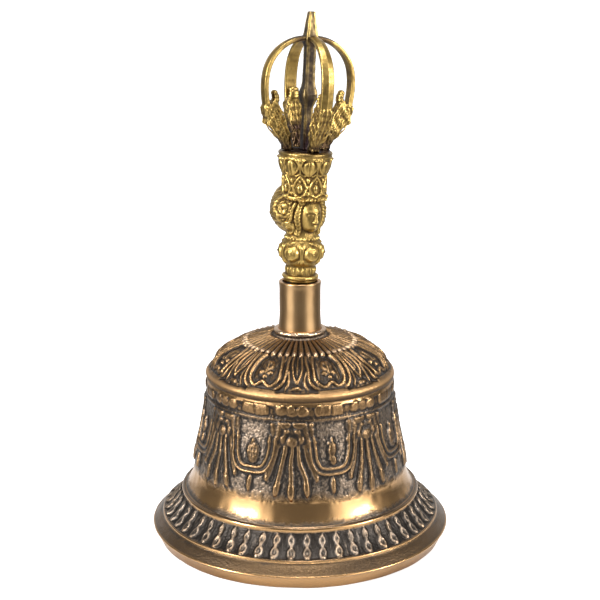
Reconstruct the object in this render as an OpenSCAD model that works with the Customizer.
// Hand bell of the Tibetan pattern: a cast bell with a clapper on a wire link,
// a plain neck collar, and a cast grip with a half vajra of four prongs and a spike.
// Millimetres. +Z is up, the mouth stands on z = 0 and the bell's axis is the Z axis.
// The front prong points to -Y, and the head on the grip looks 10 degrees to its +X side.

/* [Bell] */
// Radius of the widest edge of the lip
lip_r = 46; // [44:0.5:50]
// Height of the widest edge of the lip
lip_edge_z = 4; // [3:0.5:5]
// Outer radius of the flat face that the bell stands on
mouth_out_r = 44; // [42.5:0.5:44.5]
// Inner radius of the flat face that the bell stands on
mouth_in_r = 40.5; // [39.5:0.5:41.5]
// Thickness of the wall above the lip
wall = 2.4; // [2:0.1:3]

/* [Collar] */
// Radius of the collar at the middle of its height
collar_r = 6.25; // [6.1:0.05:6.6]
// Radius of the collar's bore
collar_bore_r = 5.35; // [5.1:0.05:5.6]
// Length of the collar
collar_len = 15.2; // [14:0.2:16]

/* [Grip] */
// Compass direction in which the head looks, from -Y towards +X
head_turn = 10; // [-30:1:30]
// Angle between the grip's axis and the bell's, as it is set in the collar
grip_lean = 2.4; // [0:0.1:3]
// Compass direction in which the grip leans, from +X towards -Y
grip_lean_towards = 23; // [-180:1:180]
// Radius of the tang that is set in the collar
tang_r = 3; // [2.6:0.1:3.4]
// Length of the tang below the collar's mouth
tang_len = 12; // [9:0.5:13]

/* [Half vajra] */
// Width of a prong, across its plane
prong_w = 3.8; // [3.2:0.1:3.8]
// Width of the sea monster's head that a prong rises from
monster_w = 5.6; // [4.8:0.1:5.8]
// Side of the square centre shaft
shaft_side = 2.9; // [2.5:0.1:3.2]
// Radius of the swelling on the centre shaft
knuckle_r = 2.5; // [2.2:0.1:2.8]

/* [Clapper] */
// Radius of the clapper's bob
bob_r = 7; // [6:0.1:7.5]
// Height of the bob's centre when the clapper hangs
bob_z = 11; // [10:0.5:14]
// Radius of the staple's wire
staple_wire_r = 1.1; // [1:0.05:1.2]
// Radius of the link's wire
link_wire_r = 0.9; // [0.8:0.05:1]
// Radius of the wire of the clapper's eye
eye_wire_r = 1; // [0.9:0.05:1.1]

/* [Hidden] */
$fn = 96;

// Heights and radii of the bell's mouldings
low_ridge = [42.7, 7.5];
high_ridge = [36.7, 14.5];
ridge_bead_r = 0.6;
waist_foot = [35.4, 15.3];
waist_low = [33, 21];
waist_top = [28.8, 49];
line_z = 45;
line_bead_r = 0.35;
shoulder_bead_r = 1.6;
shoulder_z = 51.2;
crown_edge = [8.5, 64.9];
seat_z = 64.4;
seat_bead_r = 0.9;
seat_r = collar_r + 0.3;
curve_steps = 12;

// Inside of the bell
bow_top_z = 18;
pad_r = 6.5;
pad_z = 60.4;
ceiling_z = 61.6;
staple_leg_top = 63.4;

// Collar, and the point on the axis that the grip leans about
collar_top = seat_z + collar_len;
pivot_z = collar_top - 0.2;
filling_top = collar_top - 1.2;

// Heights along the grip, above the point that it leans about
disc_low = 0.5;
disc_high = 2.4;
disc_r = 5.55;
band_r = 4.6;
band_high = 5.2;
neck_s = 13.7;
neck_r = 5.2;
hair_s = 21.3;
hair_r = 8.1;
hair_back = 3.6;
rim_r = 8.1;
top_s = 39.8;
spigot_r = 1.4;
spigot_len = 5;

// Centre spike and the prongs' joint with it
joint_side = 3.9;
joint_low = 70.4;
joint_high = 72.8;
spike_top = 79.6;
knuckle_s = 56;

// Clapper: the staple's bow, the link's two bows and the clapper's eye
staple_bow_r = 3.2;
staple_bow_z = 60;
link_bow_r = 2.4;
link_len = 6;
eye_bow_r = 2.4;
link_axis_z = staple_bow_z - staple_bow_r;
link_low_z = link_axis_z - link_len;
clapper_axis_z = link_low_z - link_bow_r;
rod_r = 1.6;
rivet_r = 2.6;
rivet_t = 1.2;

// Point at t, from 0 to 1, on the cubic curve with control points a, b, c and d
function curve_point(a, b, c, d, t) =
    pow(1 - t, 3) * a + 3 * pow(1 - t, 2) * t * b + 3 * (1 - t) * t * t * c + pow(t, 3) * d;

// The curve's points, without its first one, so that curves chain
function curve(a, b, c, d, steps = curve_steps) =
    [for (i = [1 : steps]) curve_point(a, b, c, d, i / steps)];

// Points of an arc about a centre, from one angle to another
function arc(centre, r, from, to, steps = 8) =
    [for (i = [0 : steps])
        let (a = from + (to - from) * i / steps)
        centre + r * [cos(a), sin(a)]];

// Everything on the grip: laid out along the grip's own axis, then set leaning in the collar
module on_grip() {
    translate([0, 0, pivot_z])
        rotate(a = grip_lean, v = [sin(grip_lean_towards), cos(grip_lean_towards), 0])
            children();
}

// A shape drawn as radius and height in one upright plane, made solid across that plane
module upright_plate(width) {
    rotate([90, 0, 0])
        linear_extrude(height = width, center = true)
            children();
}

// A wire bent round an arc in the upright plane through X
module wire_bow(bow_r, wire_r, from, sweep) {
    rotate([90, 0, 0])
        rotate([0, 0, from])
            rotate_extrude(angle = sweep)
                translate([bow_r, 0])
                    circle(r = wire_r, $fn = 32);
}

// Outside of the bell from the mouth to the crown
function bell_outside() = concat(
    [[mouth_out_r, 0], [lip_r - 0.15, lip_edge_z - 0.25], [lip_r, lip_edge_z]],
    curve([lip_r, lip_edge_z], [lip_r - 0.4, lip_edge_z + 1.2],
          [low_ridge[0] + 1, low_ridge[1] - 1], [low_ridge[0] + 0.4, low_ridge[1] - 0.7], 6),
    arc([low_ridge[0] - 0.45, low_ridge[1] - 0.1], ridge_bead_r, -20, 110, 6),
    curve([low_ridge[0] - 0.7, low_ridge[1] + 0.4], [low_ridge[0] - 3, low_ridge[1] + 1.6],
          [high_ridge[0] + 1.6, high_ridge[1] - 3], [high_ridge[0] + 0.1, high_ridge[1] - 0.8], 8),
    arc([high_ridge[0] - 0.5, high_ridge[1] - 0.1], ridge_bead_r, 0, 140, 6),
    [waist_foot],
    curve(waist_foot, [34.3, 16.6], [33.4, 18.8], waist_low, 6),
    curve(waist_low, [32.2, 31], [29, 37], waist_top, 16),
    arc([waist_top[0] - shoulder_bead_r + 0.1, shoulder_z], shoulder_bead_r, -60, 95, 10),
    curve([27, 53.2], [25.6, 58.6], [17, 61.8], crown_edge, 14)
);

// Inside of the bell from the crown to the mouth
function bell_inside() = concat(
    curve([0, ceiling_z], [14, ceiling_z], [waist_top[0] - wall, 59], [waist_top[0] - wall, 47]),
    curve([waist_top[0] - wall, 47], [29 - wall, 37], [32.2 - wall, 30], [33.3 - wall, bow_top_z]),
    curve([33.3 - wall, bow_top_z], [34 - wall, 12], [mouth_in_r - 2.6, 7], [mouth_in_r, 0])
);

module bell_body() {
    color([0.49, 0.37, 0.22]) {
        difference() {
            union() {
                rotate_extrude()
                    polygon(concat(bell_outside(), [[0, crown_edge[1]], [0, ceiling_z]], bell_inside()));
                // Raised line under the shoulder
                translate([0, 0, line_z])
                    rotate_extrude()
                        translate([29.05, 0])
                            circle(r = line_bead_r, $fn = 24);
                // Ring that the collar is brazed into
                translate([0, 0, crown_edge[1] + 0.1])
                    rotate_extrude()
                        translate([seat_r + seat_bead_r, 0])
                            circle(r = seat_bead_r, $fn = 32);
                // Thickening that holds the staple
                translate([0, 0, pad_z])
                    cylinder(r = pad_r, h = ceiling_z - pad_z + 0.6);
            }
            translate([0, 0, seat_z])
                cylinder(r = seat_r, h = 5);
            for (side = [-1, 1])
                translate([side * staple_bow_r, 0, pad_z - 1])
                    cylinder(r = staple_wire_r, h = staple_leg_top - pad_z + 1, $fn = 32);
        }
    }
}

module neck_collar() {
    foot_r = seat_r;
    color([0.66, 0.49, 0.29])
        translate([0, 0, seat_z])
            difference() {
                rotate_extrude()
                    polygon(concat(
                        [[0, 0], [foot_r, 0]],
                        curve([foot_r, 0], [foot_r, 1.6], [collar_r, 3], [collar_r, 6], 8),
                        [[collar_r, collar_len - 2.2]],
                        curve([collar_r, collar_len - 2.2], [collar_r, collar_len - 1.2],
                              [collar_r + 0.14, collar_len - 0.9], [collar_r + 0.14, collar_len - 0.3], 5),
                        [[collar_r - 0.1, collar_len], [0, collar_len]]
                    ));
                translate([0, 0, -1])
                    cylinder(r = collar_bore_r, h = collar_len + 2);
            }
}

// The tang that the grip casting has and the filling sets round
module tang() {
    translate([0, 0, -tang_len])
        cylinder(r = tang_r, h = tang_len + disc_low);
}

module pitch_filling() {
    color([0.05, 0.04, 0.04])
        difference() {
            translate([0, 0, seat_z])
                cylinder(r = collar_bore_r, h = filling_top - seat_z);
            on_grip() tang();
        }
}

// Turned outline of the grip: foot disc, grained band, boss bulge, neck, headdress and lotus cup
function grip_outline() = concat(
    [[0, disc_low - 0.3], [4.6, disc_low - 0.3], [5, disc_low], [5, disc_low + 0.6]],
    arc([disc_r - 0.6, disc_high - 0.65], 0.6, -60, 90, 6),
    [[band_r, disc_high], [band_r, band_high]],
    curve([band_r, band_high], [6.9, 6.1], [7.3, 11.6], [neck_r, neck_s - 0.6], 10),
    [[neck_r, neck_s + 0.6]],
    curve([neck_r, neck_s + 0.6], [6, 17], [6.4, 25], [6.5, 30], 6),
    curve([6.5, 30], [6.5, 33.6], [7.3, 35.4], [rim_r - 0.3, 37.3], 8),
    arc([rim_r - 0.6, 37.8], 0.6, -50, 60, 5),
    arc([rim_r - 0.6, 38.9], 0.6, -60, 60, 5),
    [[rim_r - 0.6, top_s], [0, top_s]]
);

// Outline of the hair, turned about an axis behind the grip's own
function hair_outline() = concat(
    [[0, -7]],
    curve([0, -7], [4.6, -7], [hair_r, -4.6], [hair_r, 0.6], 10),
    curve([hair_r, 0.6], [hair_r, 5.4], [4.8, 7.6], [0, 8], 10)
);

// Round bosses on the bulge above the foot
module grip_bosses(count = 6) {
    for (i = [0 : count - 1])
        rotate([0, 0, -82 + i * 360 / count])
            translate([4.25, 0, 9.3])
                sphere(r = 2.3, $fn = 48);
}

// The head: hair, brow, chin, nose and the rosettes over the ears
module grip_head() {
    rotate([0, 0, head_turn]) {
        translate([0, hair_back, hair_s])
            rotate_extrude() polygon(hair_outline());
        translate([0, -2.6, 21.4]) sphere(r = 4.7, $fn = 64);
        translate([0, -3.7, 18.2]) sphere(r = 3.6, $fn = 48);
        translate([0, -7, 19.8]) sphere(r = 1, $fn = 32);
        for (side = [-1, 1])
            translate([side * 5.6, -1.2, 17]) sphere(r = 2.4, $fn = 48);
    }
}

module grip_casting() {
    color([0.72, 0.55, 0.22])
        on_grip()
            difference() {
                union() {
                    tang();
                    rotate_extrude() polygon(grip_outline());
                    grip_bosses();
                    grip_head();
                }
                translate([0, 0, top_s - spigot_len])
                    cylinder(r = spigot_r, h = spigot_len + 1, $fn = 32);
            }
}

module centre_spike() {
    half = shaft_side / 2;
    corner = sqrt(2);
    color([0.35, 0.27, 0.17])
        on_grip() {
            // Spigot into the grip
            translate([0, 0, top_s - spigot_len])
                cylinder(r = spigot_r, h = spigot_len + 0.5, $fn = 32);
            // Square shaft
            translate([-half, -half, top_s])
                cube([shaft_side, shaft_side, joint_high - top_s - 0.5]);
            // Swelling on the shaft
            translate([0, 0, knuckle_s])
                sphere(r = knuckle_r, $fn = 48);
            // Block that the prongs' tips are brazed to
            translate([-joint_side / 2, -joint_side / 2, joint_low])
                cube([joint_side, joint_side, joint_high - joint_low]);
            // Four-sided tip
            translate([0, 0, joint_high])
                rotate([0, 0, 45])
                    cylinder(r1 = 1.75 * corner, r2 = 0.9 * corner, h = spike_top - joint_high, $fn = 4);
        }
}

// Outline of a prong in its own plane: out from the grip, round the cage and in to the spike
function prong_outline() = let (end = joint_side / 2) concat(
    [[4.6, top_s], [7, top_s]],
    curve([7, top_s], [8.6, 43.2], [11.6, 46.6], [13.6, 49.6]),
    curve([13.6, 49.6], [14.4, 53.2], [15.3, 58], [14.6, 62]),
    curve([14.6, 62], [13.6, 67.6], [8.4, 72.2], [end, joint_high - 0.2]),
    [[end, joint_low + 0.3]],
    curve([end, joint_low + 0.3], [7.6, 70.2], [11.8, 66.4], [12.6, 61.4]),
    curve([12.6, 61.4], [13.3, 57.6], [12.5, 53.6], [11.4, 50.6]),
    curve([11.4, 50.6], [9.2, 47.4], [6, 44], [4.6, top_s])
);

// Outline of the sea monster's head that a prong rises from, with its trunk curled up inside
function monster_outline() = concat(
    [[5.2, top_s + 1.4], [7.6, top_s + 1.2]],
    curve([7.6, top_s + 1.2], [9, 43.8], [11.9, 46.6], [14.1, 49.8], 8),
    [[13.6, 53.6]],
    curve([13.6, 53.6], [12.6, 57.6], [9.2, 58.4], [9.2, 55.4], 8),
    curve([9.2, 55.4], [9.6, 51], [6.8, 47.4], [5.2, top_s + 1.4], 8)
);

module prong(turn) {
    color([0.74, 0.56, 0.22])
        on_grip()
            rotate([0, 0, turn]) {
                upright_plate(prong_w) polygon(prong_outline());
                upright_plate(monster_w) polygon(monster_outline());
            }
}

module prong_front() { prong(-90); }
module prong_right() { prong(0); }
module prong_back() { prong(90); }
module prong_left() { prong(180); }

// Iron staple cast into the crown, its bow in the XZ plane
module clapper_staple() {
    color([0.30, 0.28, 0.26]) {
        translate([0, 0, staple_bow_z])
            wire_bow(staple_bow_r, staple_wire_r, 180, 180);
        for (side = [-1, 1])
            translate([side * staple_bow_r, 0, staple_bow_z])
                cylinder(r = staple_wire_r, h = staple_leg_top - staple_bow_z, $fn = 32);
    }
}

// Closed wire link in the YZ plane, round the staple at its top and through the eye at its bottom
module clapper_link() {
    color([0.34, 0.31, 0.28])
        rotate([0, 0, 90]) {
            translate([0, 0, link_axis_z])
                wire_bow(link_bow_r, link_wire_r, 0, 180);
            translate([0, 0, link_low_z])
                wire_bow(link_bow_r, link_wire_r, 180, 180);
            for (side = [-1, 1])
                translate([side * link_bow_r, 0, link_low_z])
                    cylinder(r = link_wire_r, h = link_len, $fn = 32);
        }
}

// Clapper's rod: an eye in the XZ plane, the rod and the riveted end under the bob
module clapper_rod() {
    rod_top = clapper_axis_z - eye_bow_r;
    color([0.30, 0.28, 0.26]) {
        translate([0, 0, clapper_axis_z])
            wire_bow(eye_bow_r, eye_wire_r, 0, 360);
        translate([0, 0, bob_z - bob_r])
            cylinder(r = rod_r, h = rod_top - bob_z + bob_r);
        translate([0, 0, bob_z - bob_r - rivet_t + 0.4])
            cylinder(r1 = rivet_r * 0.6, r2 = rivet_r, h = rivet_t);
    }
}

// Drop-shaped bob, drilled for the rod
module clapper_bob() {
    color([0.42, 0.36, 0.27])
        difference() {
            translate([0, 0, bob_z])
                rotate_extrude()
                    polygon(concat(
                        [[0, -bob_r + 0.4], [3.2, -bob_r + 0.4]],
                        curve([3.2, -bob_r + 0.4], [bob_r + 0.5, -bob_r + 1.4],
                              [bob_r + 0.9, bob_r - 1.5], [3.4, bob_r + 1], 14),
                        [[2.4, bob_r + 2.2], [0, bob_r + 2.2]]
                    ));
            translate([0, 0, bob_z - bob_r - 2])
                cylinder(r = rod_r, h = 2 * bob_r + 6);
        }
}

bell_body();
neck_collar();
pitch_filling();
grip_casting();
centre_spike();
prong_front();
prong_right();
prong_back();
prong_left();
clapper_staple();
clapper_link();
clapper_rod();
clapper_bob();
